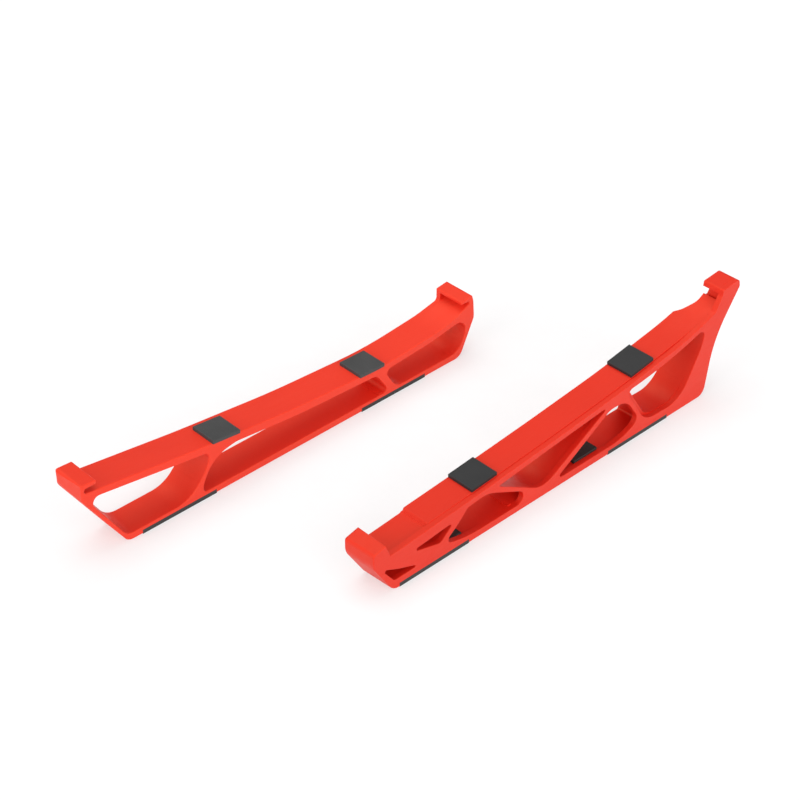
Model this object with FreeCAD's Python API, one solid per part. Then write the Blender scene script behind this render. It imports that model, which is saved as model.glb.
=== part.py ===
import FreeCAD, Part
import math
import os

# A pair of low trussed rails with an upturned hook at each end.  Rubber pads
# sit on their tops and rubber foot strips are let into their undersides.
# Millimetres, +Z up.  Each rail is drawn in its own frame first: X along the
# rail from its front hook, Y across it (the near side is -Y), Z = 0 on the
# underside of the plastic.  The rails then stand side by side on the foot
# strips, with the origin at the bottom centre of the whole pair.

# ---------------------------------------------------------------- dimensions
RAIL_WIDTH = 25.5            # across each rail
RAIL_SPACING = 147.9         # from the left rail's near side to the right rail's
RAIL_STAGGER = 83.6          # how far the right rail stands further along X

NEAR = -12.5                 # near side of a rail, in its own frame
FAR = NEAR + RAIL_WIDTH      # far side
WEB = 4.0                    # side wall that closes the left rail's grip slots
FLANGE = 3.9                 # trussed near wall of the right rail
STEP_Y = NEAR + FLANGE       # where the right rail's inner body begins
TOP_LIP = 0.45               # the inner body's top stands this far above the flange
BACK_LIP = 0.85              # and this far where it turns up to the back hook
SEAM_WIDE = 0.9              # fine groove along that line
SEAM_DEEP = 0.25

PAD_LONG = 22.4              # grip pads, along the rail
PAD_WIDE = 21.4              # and across it
PAD_THICK = 2.5
PAD_EDGE_R = 0.35
FLOOR_PAD_WIDE = 20.0        # across, inside the right rail
STRIP_LEN = 60.0             # foot strips
STRIP_THICK = 3.4
STRIP_RECESS = 2.8           # depth let into the underside
STRIP_PROUD = STRIP_THICK - STRIP_RECESS

LEFT_STRIPS_X = (47.6, 235.4)        # centres of the foot strips along X
RIGHT_STRIPS_X = (47.8, 238.8)
LEFT_PADS = ((87.6, -3.1), (214.6, -3.1))    # (x, y) centres of the top pads
RIGHT_PADS = ((94.5, 2.1), (242.6, 2.1))
FLOOR_PADS = ((63.7, 1.6), (190.6, 1.6))     # inside the right rail
FLOOR_Z = 5.2                        # inner floor level

EDGE_R = 0.7                 # rounding of the left rail's long top edges
SIDE_R = 0.55                # small rounding of the opening rims
NOSE_LEAN = 1.4              # front faces stand this much further out on the far side
NOSE_R_NEAR = 1.0            # rounding of the front hooks' edges
NOSE_R_FAR = 2.2
REAR_GROW = 0.5              # rear openings wider than the flange's

# Side outlines: (x, z, corner radius), joined by straight lines and arcs.
LEFT_SEAT = [(65.5, 41.85, 900.0), (146.9, 32.95, 700.0), (229.3, 28.25, 305.0),
             (280.7, 32.75, 90.0)]
LEFT_OUTER = [(6.3, 0.0, 7.0), (-25.3, 50.3, 16.0), (-25.3, 60.65, 2.8),
              (-12.2, 59.85, 0.8), (-12.2, 56.95, 0.8), (-21.3, 56.75, 1.2),
              (-21.3, 53.7, 1.2)] + LEFT_SEAT + [
              (298.9, 36.55, 68.0), (308.5, 41.65, 0.8), (308.5, 43.85, 0.6),
              (300.6, 43.85, 0.5), (300.6, 46.35, 0.9), (311.3, 47.75, 1.5),
              (312.9, 43.15, 20.0), (313.8, 30.25, 20.0), (313.6, 27.75, 2.0),
              (300.55, 0.0, 8.5)]
LEFT_CLOSED = [(6.3, 0.0, 7.0), (-25.3, 50.3, 16.0), (-25.3, 60.65, 2.8),
               (-12.2, 59.85, 0.8), (-12.2, 52.45, 3.0)] + LEFT_SEAT + [
               (300.6, 36.95, 3.0), (300.6, 46.35, 0.9), (311.3, 47.75, 1.5),
               (312.9, 43.15, 20.0), (313.8, 30.25, 20.0), (313.6, 27.75, 2.0),
               (300.55, 0.0, 8.5)]
LEFT_OPENINGS = [
    [(-20.5, 48.55, 4.6), (74.9, 34.45, 5.1), (70.6, 21.05, 37.9),
     (54.7, FLOOR_Z, 23.9), (6.0, FLOOR_Z, 8.7)],
    [(67.1, FLOOR_Z, 3.0), (67.8, 11.35, 12.6), (76.2, 28.9, 25.4),
     (96.2, 31.8, 14.0), (151.1, 26.0, 500.0), (219.6, 22.95, 6.8),
     (231.3, FLOOR_Z, 3.1)],
    [(227.0, 23.15, 3.8), (268.7, 26.05, 99.0), (305.3, 31.45, 8.7),
     (304.9, 16.95, 19.5), (298.3, FLOOR_Z, 13.3), (237.8, FLOOR_Z, 10.6)],
]

# The first opening's end walls lean inwards towards the far side.
LEFT_FRONT_FAR = [(-18.6, 48.25, 5.0), (73.7, 34.61, 5.1), (69.4, 21.05, 37.9),
                  (53.5, FLOOR_Z, 23.9), (7.9, FLOOR_Z, 14.6)]

# The right rail is a trussed near wall (the flange) with an inner body behind
# it, whose front seat lies lower than the flange's top.
LIP_Z = 77.1                 # underside of the back hook's lip
RIGHT_HOOK = [(10.95, 0.0, 3.0), (-5.05, 25.9, 12.0), (-5.05, 36.5, 2.4),
              (6.4, 39.05, 0.9)]
RIGHT_TOP = [(80.9, 34.25, 900.0), (155.6, 40.85, 900.0), (222.6, 47.75, 600.0),
             (284.1, 57.05, 200.0)]
RIGHT_BACK = [(334.9, 83.45, 3.2), (336.1, 77.05, 3.0), (316.2, 47.15, 120.0),
              (311.9, 28.75, 120.0), (308.0, 0.0, 7.0)]
RIGHT_FLANGE_OUTER = (RIGHT_HOOK + [(10.3, 29.0, 0.6)] + RIGHT_TOP +
                      [(311.6, 66.3, 1.0), (317.4, 76.5, 3.0), (318.1, 81.3, 1.2)] +
                      RIGHT_BACK)
RIGHT_SEAT_END = [(41.9, 29.45, 0.3), (42.8, 30.4, 0.25), (43.4, 30.1, 0.2),
                  (43.9, 30.15, 0.2), (45.0, 31.98, 0.4)]
RIGHT_MAIN_OUTER = (RIGHT_HOOK + [(12.2, 27.05, 0.6)] + RIGHT_SEAT_END +
                    [(x, z + TOP_LIP, r) for x, z, r in RIGHT_TOP[:3]] +
                    [(284.1, 57.05 + BACK_LIP, 200.0)] +
                    [(303.5, 62.75, 60.0), (313.5, 66.9, 20.0), (319.2, 70.95, 0.3),
                     (320.0, 69.1, 0.3), (322.9, 68.95, 0.5), (327.5, LIP_Z, 0.8), (317.6, LIP_Z, 0.6),
                     (318.1, 81.3, 1.2)] +
                    RIGHT_BACK)
RIGHT_OPENINGS = [
    [(3.1, 21.35, 1.2), (17.4, 14.35, 80.0), (35.1, 7.65, 0.9), (13.4, 7.35, 4.6)],
    [(27.4, 21.35, 1.1), (64.4, 24.85, 1.5), (52.9, 14.15, 5.2)],
    [(55.8, 11.15, 3.3), (76.7, 5.35, 97.0), (144.9, 4.95, 5.6),
     (93.6, 30.85, 23.7), (76.3, 29.35, 5.0), (67.2, 20.05, 60.0)],
    [(103.2, 31.05, 0.6), (150.9, 36.05, 900.0), (206.7, 41.25, 1.2),
     (145.5, 6.25, 17.7)],
    [(156.8, 6.05, 1.8), (222.1, 5.85, 49.0), (239.1, 14.25, 6.5),
     (223.8, 36.9, 16.5), (207.7, 37.1, 11.8)],
    [(223.5, 43.65, 4.3), (259.8, 46.6, 400.0), (302.2, 58.05, 5.9),
     (301.1, 44.95, 44.9), (281.3, 7.95, 21.3), (245.5, 9.45, 17.6)],
]
# Behind the flange the third, fifth and sixth openings have outlines of their
# own, with the struts set further along the rail; the others follow the flange.
RIGHT_REAR_OPENINGS = {
    2: [(48.6, FLOOR_Z, 1.5), (72.6, 29.75, 5.0), (93.8, 31.45, 23.0),
        (144.2, FLOOR_Z, 2.5)],
    4: [(155.4, FLOOR_Z, 1.2), (248.2, FLOOR_Z, 1.5), (227.2, 38.25, 10.0),
        (207.2, 38.25, 11.0)],
    5: [(227.0, 44.95, 4.0), (259.8, 47.65, 400.0), (302.8, 58.65, 6.2),
        (301.4, 44.95, 44.9), (281.2, 8.3, 21.6), (249.6, 9.7, 15.0)],
}
# Face of the back hook's neck, under the lip, and how far across it reaches.
RIGHT_NECK_FACE = [(320.3, 68.0, 0.0), (321.2, LIP_Z + 1.5, 0.0),
                   (330.0, LIP_Z + 1.5, 0.0), (330.0, 68.0, 0.0)]
RIGHT_NECK_Y = 0.9
# Far-side outline that bounds the right rail's front hook; the near side's is
# NOSE_LEAN further back.  Away from the hook it runs clear of the rail.
RIGHT_NOSE = [(11.0, 0.25, 9.0), (-4.94, 26.05, 12.0), (-4.94, 36.34, 2.8),
              (9.6, 39.79, 5.0), (40.0, 100.0, 8.0), (420.0, 100.0, 8.0),
              (420.0, -73.6, 8.0)]
# Plan of what is cut away on the far side behind the right rail's back hook.
RIGHT_NECK = [(292.6, 17.0, 0.0), (302.4, 9.7, 18.0), (313.4, 4.8, 18.0),
              (345.0, 3.7, 0.0), (345.0, 17.0, 0.0)]
# Low cross ridges on the inner floors: (x, width, height, y from, y to).
LEFT_RIDGE = (224.0, 3.2, 0.6, NEAR + 1.0, FAR - 3.0)
RIGHT_RIDGE = (117.8, 3.4, 0.8, STEP_Y, 6.5)


# ------------------------------------------------------------------- helpers
def corner_points(verts):
    """Tangent points and arc mid point for every corner of a closed outline."""
    n = len(verts)
    pts = [(v[0], v[1]) for v in verts]
    length = [math.dist(pts[i], pts[(i + 1) % n]) for i in range(n)]
    tangent = []
    half_angle = []
    for i in range(n):
        p, a, b = pts[i], pts[i - 1], pts[(i + 1) % n]
        ux, uz = (a[0] - p[0]) / length[i - 1], (a[1] - p[1]) / length[i - 1]
        vx, vz = (b[0] - p[0]) / length[i], (b[1] - p[1]) / length[i]
        ang = math.acos(max(-1.0, min(1.0, ux * vx + uz * vz)))
        half_angle.append(ang / 2.0)
        tangent.append(verts[i][2] / math.tan(ang / 2.0) if verts[i][2] > 0 else 0.0)
    for _ in range(3):
        for i in range(n):
            j = (i + 1) % n
            total = tangent[i] + tangent[j]
            if total > 0.98 * length[i]:
                k = 0.98 * length[i] / total
                tangent[i] *= k
                tangent[j] *= k
    out = []
    for i in range(n):
        p, a, b = pts[i], pts[i - 1], pts[(i + 1) % n]
        t = tangent[i]
        if t < 1e-4:
            out.append((p, None, p))
            continue
        ux, uz = (a[0] - p[0]) / length[i - 1], (a[1] - p[1]) / length[i - 1]
        vx, vz = (b[0] - p[0]) / length[i], (b[1] - p[1]) / length[i]
        p1 = (p[0] + ux * t, p[1] + uz * t)
        p2 = (p[0] + vx * t, p[1] + vz * t)
        r = t * math.tan(half_angle[i])
        bx, bz = ux + vx, uz + vz
        bl = math.hypot(bx, bz)
        reach = r / math.sin(half_angle[i])
        mid = (p[0] + bx / bl * (reach - r), p[1] + bz / bl * (reach - r))
        out.append((p1, mid, p2))
    return out


def outline_wire(verts, place):
    """Closed wire of lines and tangent arcs; place() lifts (u, v) into 3-D."""
    corners = corner_points(verts)
    edges = []
    for i, (p1, mid, p2) in enumerate(corners):
        if mid is not None:
            edges.append(Part.Arc(place(*p1), place(*mid), place(*p2)).toShape())
        q = corners[(i + 1) % len(corners)][0]
        if math.dist(p2, q) > 1e-5:
            edges.append(Part.LineSegment(place(*p2), place(*q)).toShape())
    return Part.Wire(edges)


def side_prism(verts, y0, y1):
    """Side outline swept across the rail from y0 to y1."""
    wire = outline_wire(verts, lambda x, z: FreeCAD.Vector(x, y0, z))
    return Part.Face(wire).extrude(FreeCAD.Vector(0, y1 - y0, 0))


def leaning_prism(near, far):
    """Side outline that changes evenly from the near side to the far side."""
    ends = []
    for y in (NEAR - 1.0, FAR + 1.0):
        t = (y - NEAR) / RAIL_WIDTH
        verts = [tuple(p + (q - p) * t for p, q in zip(a, b)) for a, b in zip(near, far)]
        ends.append(outline_wire(verts, lambda x, z: FreeCAD.Vector(x, y, z)))
    return Part.makeLoft(ends, True, True)


def plan_prism(verts, z0, z1):
    wire = outline_wire(verts, lambda x, y: FreeCAD.Vector(x, y, z0))
    return Part.Face(wire).extrude(FreeCAD.Vector(0, 0, z1 - z0))


def grown(verts, d):
    """The same outline with every side moved outwards by d."""
    n = len(verts)
    area = sum(verts[i][0] * verts[(i + 1) % n][1] - verts[(i + 1) % n][0] * verts[i][1]
               for i in range(n))
    s = 1.0 if area > 0 else -1.0
    lines = []
    for i in range(n):
        (x0, z0, _), (x1, z1, _) = verts[i], verts[(i + 1) % n]
        l = math.hypot(x1 - x0, z1 - z0)
        dx, dz = (x1 - x0) / l, (z1 - z0) / l
        lines.append((x0 + s * dz * d, z0 - s * dx * d, dx, dz))
    out = []
    for i in range(n):
        ax, az, adx, adz = lines[i - 1]
        bx, bz, bdx, bdz = lines[i]
        det = adx * bdz - adz * bdx
        if abs(det) < 1e-9:
            out.append((bx, bz, verts[i][2]))
            continue
        t = ((bx - ax) * bdz - (bz - az) * bdx) / det
        convex = det * s > 0
        out.append((ax + adx * t, az + adz * t,
                    max(0.2, verts[i][2] + (d if convex else -d))))
    return out


def rounded_block(dx, dy, dz, r, below=0.0):
    """Block centred on x and y, standing on z = 0, with softened edges.
    With below > 0 it reaches that far under z = 0 and its foot stays sharp."""
    b = Part.makeBox(dx, dy, dz + below, FreeCAD.Vector(-dx / 2.0, -dy / 2.0, -below))
    edges = [e for e in b.Edges if below == 0.0 or
             max(v.Point.z for v in e.Vertexes) > dz - 1e-6]
    return b.makeFillet(r, edges)


def seat_height(outline, x, z_from):
    """Height of the rail's top surface at x, in a side outline."""
    probe = Part.makeLine(FreeCAD.Vector(x, 0, z_from), FreeCAD.Vector(x, 0, 200.0))
    wire = outline_wire(outline, lambda u, v: FreeCAD.Vector(u, 0, v))
    hits = [v.Point.z for v in wire.section(probe).Vertexes]
    return min(hits)


def top_pad(outline, x, y):
    """Grip pad bonded on the top surface, tilted as the surface is there."""
    h = PAD_LONG / 2.0
    za = seat_height(outline, x - h * 0.7, 20.0)
    zb = seat_height(outline, x + h * 0.7, 20.0)
    tilt = math.degrees(math.atan2(zb - za, 1.4 * h))
    pad = rounded_block(PAD_LONG, PAD_WIDE, PAD_THICK, PAD_EDGE_R, below=1.0)
    pad.rotate(FreeCAD.Vector(0, 0, 0), FreeCAD.Vector(0, 1, 0), -tilt)
    pad.translate(FreeCAD.Vector(x, y, (za + zb) / 2.0))
    return largest(pad.cut(side_prism(outline, -40.0, 40.0)))


def largest(shape):
    solids = sorted(shape.Solids, key=lambda s: s.Volume)
    return solids[-1]


def foot_strip(x):
    strip = Part.makeBox(STRIP_LEN, RAIL_WIDTH, STRIP_THICK,
                         FreeCAD.Vector(x - STRIP_LEN / 2.0, NEAR, -STRIP_PROUD))
    ends = [e for e in strip.Edges
            if abs(e.Vertexes[0].Point.z + STRIP_PROUD) < 1e-6
            and abs(e.Vertexes[-1].Point.z + STRIP_PROUD) < 1e-6]
    return strip.makeFillet(0.45, ends)


def strip_pocket(x):
    return Part.makeBox(STRIP_LEN, RAIL_WIDTH + 2.0, STRIP_RECESS + 2.0,
                        FreeCAD.Vector(x - STRIP_LEN / 2.0, NEAR - 1.0, -2.0))


def soften(shape, pick, radius, label):
    """Fillet the picked edges; where the full radius does not fit, a smaller."""
    edges = [e for e in shape.Edges if pick(e)]
    for r in (radius, radius * 0.7, radius * 0.45):
        try:
            out = shape.makeFillet(r, edges)
            if out.isValid() and len(out.Solids) == 1:
                print(label, "filleted", len(edges), "edges at", round(r, 2))
                return out
        except Exception as err:
            print(label, "radius", round(r, 2), "does not fit:", str(err)[:60])
    print(label, "left sharp")
    return shape


def near_side(y):
    """Edges that lie wholly in the plane at this y."""
    def pick(e):
        b = e.BoundBox
        return abs(b.YMin - y) < 1e-4 and abs(b.YMax - y) < 1e-4
    return pick


def nose_trim(x0):
    """What is cut away in front of a rail whose outline ends at x0: the front
    face leans a little in plan and its upright edges are rounded."""
    xn, xf = x0 + 0.1 + NOSE_LEAN, x0 + 0.1
    return plan_prism([(x0 - 3.0, NEAR - 2.0, 0.0), (xn + 4.0, NEAR - 2.0, 0.0),
                       (xn + 4.0, NEAR - 0.08, 0.0), (xn, NEAR - 0.08, NOSE_R_NEAR),
                       (xf, FAR + 0.1, NOSE_R_FAR), (xf + 5.0, FAR + 0.1, 0.0),
                       (xf + 5.0, FAR + 2.0, 0.0), (x0 - 3.0, FAR + 2.0, 0.0)], -5.0, 95.0)


def nose_bound(far_outline):
    """What the body is kept within at its front hook: the outline swept
    across the rail with the lean, its edges rounded on both sides."""
    y0, y1 = FAR + 0.08, NEAR - 0.08
    wire = outline_wire(far_outline, lambda x, z: FreeCAD.Vector(x, y0, z))
    lean = NOSE_LEAN * (y0 - y1) / RAIL_WIDTH
    bound = Part.Face(wire).extrude(FreeCAD.Vector(lean, y1 - y0, 0))
    bound = soften(bound, near_side(y0), NOSE_R_FAR, "nose far edges")
    return soften(bound, near_side(y1), NOSE_R_NEAR, "nose near edges")


def on_outline(e, outline_wire_, tol=1e-3):
    m = e.valueAt((e.FirstParameter + e.LastParameter) / 2.0)
    d = outline_wire_.distToShape(Part.Vertex(FreeCAD.Vector(m.x, 0, m.z)))[0]
    return d < tol


# ------------------------------------------------------------------ left rail
def make_left():
    main = side_prism(LEFT_OUTER, NEAR, FAR - WEB)
    web = side_prism(LEFT_CLOSED, FAR - WEB, FAR)
    body = main.fuse(web)
    body = body.cut(leaning_prism(LEFT_OPENINGS[0], LEFT_FRONT_FAR))
    for o in LEFT_OPENINGS[1:]:
        body = body.cut(side_prism(o, NEAR - 1.0, FAR + 1.0))
    body = largest(body.removeSplitter())
    ref = outline_wire(LEFT_OUTER, lambda u, v: FreeCAD.Vector(u, 0, v))
    near = near_side(NEAR)
    far = near_side(FAR)


    def top_edge(e):
        if not (near(e) or far(e)):
            return False
        m = e.valueAt((e.FirstParameter + e.LastParameter) / 2.0)
        return m.z > 26.5 and -21.0 < m.x < 296.0 and on_outline(e, ref)

    body = soften(body, top_edge, EDGE_R, "left rail top")

    def rim(e):
        m = e.valueAt((e.FirstParameter + e.LastParameter) / 2.0)
        if not (near(e) or far(e)):
            return False
        return m.z > 3.1 and e.Length > 0.5

    body = soften(body, rim, SIDE_R, "left rail rims")
    body = body.cut(nose_trim(LEFT_OUTER[1][0]))
    for x in LEFT_STRIPS_X:
        body = body.cut(strip_pocket(x))
    x, w, h, y0, y1 = LEFT_RIDGE
    ridge = Part.makeBox(w, y1 - y0, h + 0.5, FreeCAD.Vector(x - w / 2, y0, FLOOR_Z - 0.5))
    body = body.fuse(ridge)
    return largest(body)


# ----------------------------------------------------------------- right rail
def make_right():
    flange = side_prism(RIGHT_FLANGE_OUTER, NEAR, STEP_Y)
    main = side_prism(RIGHT_MAIN_OUTER, STEP_Y, FAR)
    at_step = near_side(STEP_Y)

    def lip(e):
        m = e.valueAt((e.FirstParameter + e.LastParameter) / 2.0)
        return at_step(e) and 45.5 < m.x < 303.0 and m.z > 31.0

    main = soften(main, lip, 0.3, "right rail top line")
    for i, o in enumerate(RIGHT_OPENINGS):
        flange = flange.cut(side_prism(o, NEAR - 1.0, STEP_Y + 1.0))
        rear = RIGHT_REAR_OPENINGS.get(i) or grown(o, REAR_GROW)
        main = main.cut(side_prism(rear, STEP_Y - 1.0, FAR + 1.0))
    main = main.cut(plan_prism(RIGHT_NECK, -5.0, 95.0))
    main = main.fuse(side_prism(RIGHT_NECK_FACE, STEP_Y, RIGHT_NECK_Y))
    seam = ([(46.0, 32.2 - SEAM_DEEP, 0.0)] +
            [(x, z - SEAM_DEEP, r) for x, z, r in RIGHT_TOP] +
            [(308.0, 65.09 - SEAM_DEEP, 0.0), (308.0, 75.0, 0.0), (46.0, 45.0, 0.0)])
    flange = flange.cut(side_prism(seam, STEP_Y - SEAM_WIDE, STEP_Y + 1.0))
    body = largest(flange.fuse(main).removeSplitter())
    near = near_side(NEAR)
    far = near_side(FAR)

    def rim(e):
        m = e.valueAt((e.FirstParameter + e.LastParameter) / 2.0)
        return (near(e) or far(e)) and m.z > 3.1 and e.Length > 0.5

    body = soften(body, rim, SIDE_R, "right rail rims")
    body = body.common(nose_bound(RIGHT_NOSE))
    for x in RIGHT_STRIPS_X:
        body = body.cut(strip_pocket(x))
    x, w, h, y0, y1 = RIGHT_RIDGE
    ridge = Part.makeBox(w, y1 - y0, h + 0.5, FreeCAD.Vector(x - w / 2, y0, FLOOR_Z - 0.5))
    body = body.fuse(ridge)
    return largest(body)


# ---------------------------------------------------------------- everything
left = make_left()
right = make_right()

left_nodes = {"left_rail_body": left}
right_nodes = {"right_rail_body": right}
for name, (x, y) in zip(("front", "back"), LEFT_PADS):
    left_nodes["left_grip_pad_" + name] = top_pad(LEFT_OUTER, x, y)
for name, (x, y) in zip(("front", "back"), RIGHT_PADS):
    right_nodes["right_grip_pad_" + name] = top_pad(RIGHT_MAIN_OUTER, x, y)
for name, x in zip(("front", "back"), LEFT_STRIPS_X):
    left_nodes["left_foot_strip_" + name] = foot_strip(x)
for name, x in zip(("front", "back"), RIGHT_STRIPS_X):
    right_nodes["right_foot_strip_" + name] = foot_strip(x)
for name, (x, y) in zip(("front", "back"), FLOOR_PADS):
    pad = rounded_block(PAD_LONG, FLOOR_PAD_WIDE, PAD_THICK, PAD_EDGE_R)
    pad.translate(FreeCAD.Vector(x, y, FLOOR_Z))
    right_nodes["right_floor_pad_" + name] = pad

# Stand the pair on its foot strips, origin at the bottom centre of its box.
for s in right_nodes.values():
    s.translate(FreeCAD.Vector(RAIL_STAGGER, -RAIL_SPACING, 0))
box = FreeCAD.BoundBox()
for s in list(left_nodes.values()) + list(right_nodes.values()):
    box.add(s.optimalBoundingBox())
shift = FreeCAD.Vector(-(box.XMin + box.XMax) / 2.0, -(box.YMin + box.YMax) / 2.0, -box.ZMin)
print("shift", [round(v, 3) for v in shift], "box", round(box.XLength, 2), round(box.YLength, 2),
      round(box.ZLength, 2))

os.makedirs("parts", exist_ok=True)
for name, s in {**left_nodes, **right_nodes}.items():
    s.translate(shift)
    print(name, "valid", s.isValid(), "solids", len(s.Solids), "volume", round(s.Volume, 1))
    s.exportStep("parts/" + name + ".step")
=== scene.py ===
import math

import bpy
from mathutils import Matrix, Vector

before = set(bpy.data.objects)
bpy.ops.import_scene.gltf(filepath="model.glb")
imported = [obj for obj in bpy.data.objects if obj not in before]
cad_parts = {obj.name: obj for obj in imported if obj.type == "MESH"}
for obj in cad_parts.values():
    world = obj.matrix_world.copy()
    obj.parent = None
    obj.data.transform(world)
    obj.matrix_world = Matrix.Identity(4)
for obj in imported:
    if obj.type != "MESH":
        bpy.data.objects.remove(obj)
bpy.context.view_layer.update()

scene = bpy.context.scene

# ------------------------------------------------------------------- camera
# Long lens, looking down on the pair from its front right corner.
HEADING = 0.7570279238965192       # from +Y towards +X
DOWN = 0.6352237119806039          # below the horizontal
LENS_WIDTHS = 1937.1300961125628 / 800.0
EYE = Vector((-0.705173, -0.731899, 0.796569))

ahead = Vector((math.sin(HEADING) * math.cos(DOWN),
                math.cos(HEADING) * math.cos(DOWN), -math.sin(DOWN)))
right = Vector((math.cos(HEADING), -math.sin(HEADING), 0.0))
up = right.cross(ahead)
cam_data = bpy.data.cameras.new("camera")
cam = bpy.data.objects.new("camera", cam_data)
scene.collection.objects.link(cam)
pose = Matrix((right, up, -ahead)).transposed().to_4x4()
pose.translation = EYE
cam.matrix_world = pose
cam_data.sensor_width = 36.0
cam_data.lens = 36.0 * LENS_WIDTHS
cam_data.clip_start = 0.01
cam_data.clip_end = 100.0
scene.camera = cam
scene.view_settings.view_transform = "Standard"
scene.view_settings.look = "None"


# ---------------------------------------------------------------- node tools
def new_material(name):
    m = bpy.data.materials.new(name)
    m.use_nodes = True
    nt = m.node_tree
    return m, nt, nt.nodes["Principled BSDF"], nt.nodes["Material Output"]


def node(nt, kind, **values):
    n = nt.nodes.new(kind)
    for k, v in values.items():
        setattr(n, k, v)
    return n


def noise(nt, coords, scale, detail=3.0, rough=0.5, distort=0.0):
    n = node(nt, "ShaderNodeTexNoise")
    n.inputs["Scale"].default_value = scale
    n.inputs["Detail"].default_value = detail
    n.inputs["Roughness"].default_value = rough
    n.inputs["Distortion"].default_value = distort
    nt.links.new(coords, n.inputs["Vector"])
    return n.outputs["Fac"]


def ramp(nt, fac, stops):
    n = node(nt, "ShaderNodeValToRGB")
    cr = n.color_ramp
    while len(cr.elements) < len(stops):
        cr.elements.new(0.5)
    for e, (p, c) in zip(cr.elements, stops):
        e.position = p
        e.color = c if len(c) == 4 else (*c, 1.0)
    nt.links.new(fac, n.inputs["Fac"])
    return n.outputs["Color"]


def remap(nt, value, a, b, c, d):
    n = node(nt, "ShaderNodeMapRange")
    n.inputs["From Min"].default_value = a
    n.inputs["From Max"].default_value = b
    n.inputs["To Min"].default_value = c
    n.inputs["To Max"].default_value = d
    nt.links.new(value, n.inputs["Value"])
    return n.outputs["Result"]


def mix(nt, fac, a, b, blend="MIX"):
    n = node(nt, "ShaderNodeMix", data_type="RGBA", blend_type=blend)
    if isinstance(fac, (int, float)):
        n.inputs["Factor"].default_value = fac
    else:
        nt.links.new(fac, n.inputs["Factor"])
    for socket, v in ((n.inputs[6], a), (n.inputs[7], b)):
        if isinstance(v, tuple):
            socket.default_value = (*v, 1.0) if len(v) == 3 else v
        else:
            nt.links.new(v, socket)
    return n.outputs[2]


def math_node(nt, op, a, b=None):
    n = node(nt, "ShaderNodeMath", operation=op)
    for i, v in enumerate((a, b)):
        if v is None:
            continue
        if isinstance(v, (int, float)):
            n.inputs[i].default_value = v
        else:
            nt.links.new(v, n.inputs[i])
    return n.outputs[0]


def bump(nt, height, strength, distance):
    n = node(nt, "ShaderNodeBump")
    n.inputs["Strength"].default_value = strength
    n.inputs["Distance"].default_value = distance
    nt.links.new(height, n.inputs["Height"])
    return n.outputs["Normal"]


# ----------------------------------------------------------------- materials
def red_plastic(name, base, deep, pale, gloss):
    """Injection-moulded plastic: even satin skin with a very fine moulded
    texture, slight flow clouding and faint handling marks."""
    m, nt, b, out = new_material(name)
    pos = node(nt, "ShaderNodeTexCoord").outputs["Object"]
    flow = node(nt, "ShaderNodeMapping")
    flow.inputs["Scale"].default_value = (0.35, 1.0, 1.0)
    nt.links.new(pos, flow.inputs["Vector"])
    cloud = noise(nt, flow.outputs["Vector"], 22.0, 3.0, 0.55, 0.3)
    fine = noise(nt, pos, 2600.0, 2.0, 0.6)
    colour = ramp(nt, cloud, [(0.30, deep), (0.52, base), (0.74, pale)])
    speck = remap(nt, fine, 0.3, 0.7, 0.965, 1.035)
    hsv = node(nt, "ShaderNodeHueSaturation")
    nt.links.new(speck, hsv.inputs["Value"])
    nt.links.new(colour, hsv.inputs["Color"])
    nt.links.new(hsv.outputs["Color"], b.inputs["Base Color"])
    marks = noise(nt, flow.outputs["Vector"], 140.0, 5.0, 0.65, 0.8)
    nt.links.new(remap(nt, marks, 0.3, 0.75, 0.46, 0.58), b.inputs["Roughness"])
    b.inputs["IOR"].default_value = 1.5
    b.inputs["Specular IOR Level"].default_value = gloss
    b.inputs["Specular Tint"].default_value = (1.0, 0.93, 0.52, 1.0)
    grain = noise(nt, pos, 1500.0, 2.0, 0.55)
    first = bump(nt, grain, 0.10, 0.0002)
    nt.links.new(first, b.inputs["Normal"])
    return m


def rubber(name, base, pale, grain_scale, rough):
    """Dull black rubber with a fine pebbled skin and greyish bloom."""
    m, nt, b, out = new_material(name)
    pos = node(nt, "ShaderNodeTexCoord").outputs["Object"]
    bloom = noise(nt, pos, 70.0, 4.0, 0.6)
    pebble = node(nt, "ShaderNodeTexVoronoi")
    pebble.inputs["Scale"].default_value = grain_scale
    nt.links.new(pos, pebble.inputs["Vector"])
    colour = ramp(nt, bloom, [(0.3, base), (0.72, pale)])
    nt.links.new(colour, b.inputs["Base Color"])
    nt.links.new(remap(nt, bloom, 0.3, 0.7, rough - 0.05, rough + 0.05), b.inputs["Roughness"])
    b.inputs["Specular IOR Level"].default_value = 0.4
    nt.links.new(bump(nt, pebble.outputs["Distance"], 0.25, 0.0003), b.inputs["Normal"])
    return m


left_red = red_plastic("left_rail_plastic", (0.735, 0.0215, 0.0098), (0.71, 0.0196, 0.0089), (0.76, 0.0245, 0.0111), 0.50)
right_red = red_plastic("right_rail_plastic", (0.655, 0.0104, 0.0046), (0.63, 0.0093, 0.0041), (0.68, 0.0119, 0.0053), 0.49)
# Both pads are the same rubber. The left pad's base and pale colours are lighter as painted light, standing in for
# the extra light and reflection it catches where it sits.
left_pad_painted_lighter = rubber("left_pad_rubber", (0.039, 0.039, 0.039), (0.052, 0.052, 0.052), 1400.0, 0.62)
right_pad = rubber("right_pad_rubber", (0.016, 0.016, 0.0162), (0.023, 0.023, 0.0235), 1400.0, 0.62)
floor_pad = rubber("floor_pad_rubber", (0.018, 0.016, 0.015), (0.025, 0.023, 0.022), 1400.0, 0.7)
strip_rubber = rubber("foot_strip_rubber", (0.022, 0.0213, 0.0207), (0.032, 0.031, 0.0302), 1100.0, 0.6)

for name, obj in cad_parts.items():
    if name.endswith("rail_body"):
        m = left_red if name.startswith("left") else right_red
    elif "foot_strip" in name:
        m = strip_rubber
    elif "floor_pad" in name:
        m = floor_pad
    else:
        m = left_pad_painted_lighter if name.startswith("left") else right_pad
    for s in obj.material_slots:
        s.material = m

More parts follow.
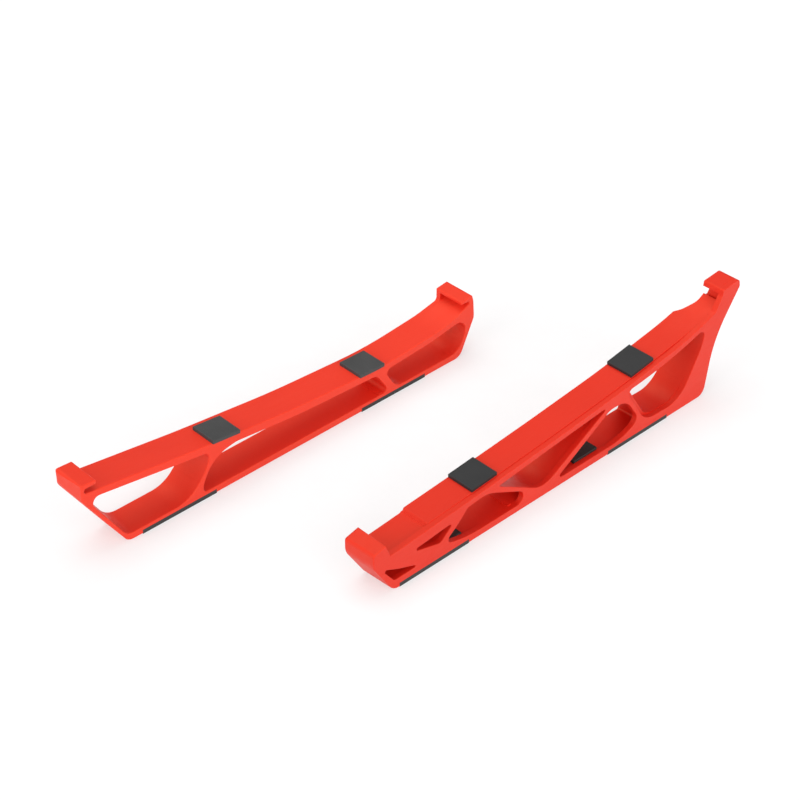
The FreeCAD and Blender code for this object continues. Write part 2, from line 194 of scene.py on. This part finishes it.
# --------------------------------------------------------------------- stage
FLOOR = 40.0
bpy.ops.mesh.primitive_plane_add(size=FLOOR, location=(0.0, 0.0, 0.0))
floor = bpy.context.object
floor.name = "floor"
fm, nt, b, out = new_material("floor_paper")
pos = node(nt, "ShaderNodeTexCoord").outputs["Object"]
paper = noise(nt, pos, 40.0, 4.0, 0.6)
nt.links.new(ramp(nt, paper, [(0.3, (0.434, 0.434, 0.434)), (0.7, (0.446, 0.446, 0.446))]), b.inputs["Base Color"])
b.inputs["Emission Color"].default_value = (1.0, 1.0, 1.0, 1.0)
b.inputs["Emission Strength"].default_value = 0.50
b.inputs["Roughness"].default_value = 0.9
b.inputs["Specular IOR Level"].default_value = 0.0
floor.data.materials.append(fm)

world = bpy.data.worlds.new("studio")
world.use_nodes = True
scene.world = world
bg = world.node_tree.nodes["Background"]
bg.inputs["Color"].default_value = (1.0, 1.0, 1.0, 1.0)
# The studio is brighter in front of the rails than behind them.
wt = world.node_tree
toward = node(wt, "ShaderNodeVectorMath", operation="DOT_PRODUCT")
around = node(wt, "ShaderNodeTexCoord").outputs["Generated"]
wt.links.new(around, toward.inputs[0])
toward.inputs[1].default_value = (0.67, 0.70, 0.25)
shade = remap(wt, toward.outputs["Value"], -1.0, 1.0, 1.32, 0.20)
# Its walls are pale just above the floor all the way round.
split = node(wt, "ShaderNodeSeparateXYZ")
wt.links.new(around, split.inputs[0])
wall = remap(wt, split.outputs["Z"], 0.06, 0.26, 1.0, 0.0)
wt.links.new(math_node(wt, "MAXIMUM", shade, wall), bg.inputs["Strength"])


def soft_sun(name, towards, strength, spread):
    """Even light from one side of the studio, soft like a large diffuser."""
    d = bpy.data.lights.new(name, "SUN")
    d.energy = strength
    d.angle = math.radians(spread)
    o = bpy.data.objects.new(name, d)
    scene.collection.objects.link(o)
    o.rotation_euler = Vector(towards).to_track_quat("-Z", "Y").to_euler()
    return o


soft_sun("overhead", (-0.05, -0.25, -1.0), 1.20, 50.0)
soft_sun("side", (0.0, 1.0, -0.34), 1.00, 40.0)
soft_sun("front", (1.0, 0.0, -0.42), 0.75, 40.0)
